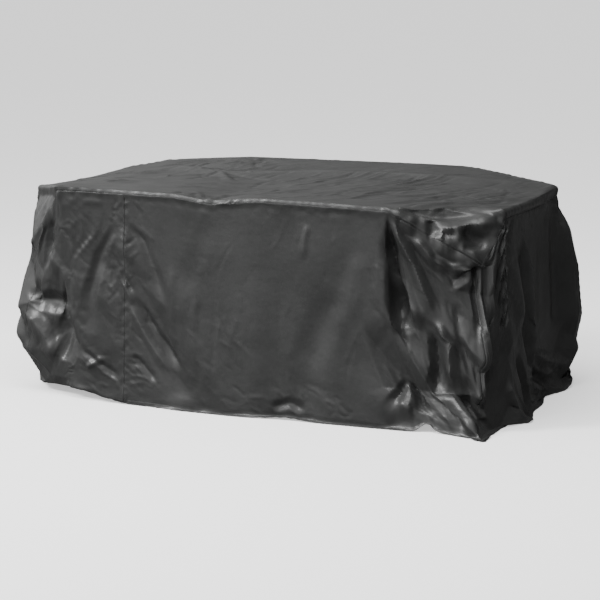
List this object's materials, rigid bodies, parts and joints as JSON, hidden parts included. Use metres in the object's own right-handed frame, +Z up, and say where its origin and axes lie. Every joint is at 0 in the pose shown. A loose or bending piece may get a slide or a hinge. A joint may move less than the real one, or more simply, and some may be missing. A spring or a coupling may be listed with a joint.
{
  "type": "patio furniture cover",
  "caption": "Fitted cloth cover for a garden furniture set, hollow and open below, with drooping corners, folded sides and a hem that spreads on the ground.",
  "frame": {"origin": "centre of the footprint, on the ground", "axes": "+X along the cover's length towards its right end, +Y from the near side to the far side, +Z up"},
  "size_m": [2.2814, 1.5618, 0.8915],
  "materials": {
    "coated_cloth": "near-black coated polyester in a plain weave, with a soft sheen"
  },
  "bodies": {
    "root": {"top_panel": "coated_cloth", "front_panel_short": "coated_cloth", "front_panel_main": "coated_cloth", "end_panel_right": "coated_cloth", "back_panel": "coated_cloth", "end_panel_left": "coated_cloth"}
  },
  "joints": []
}
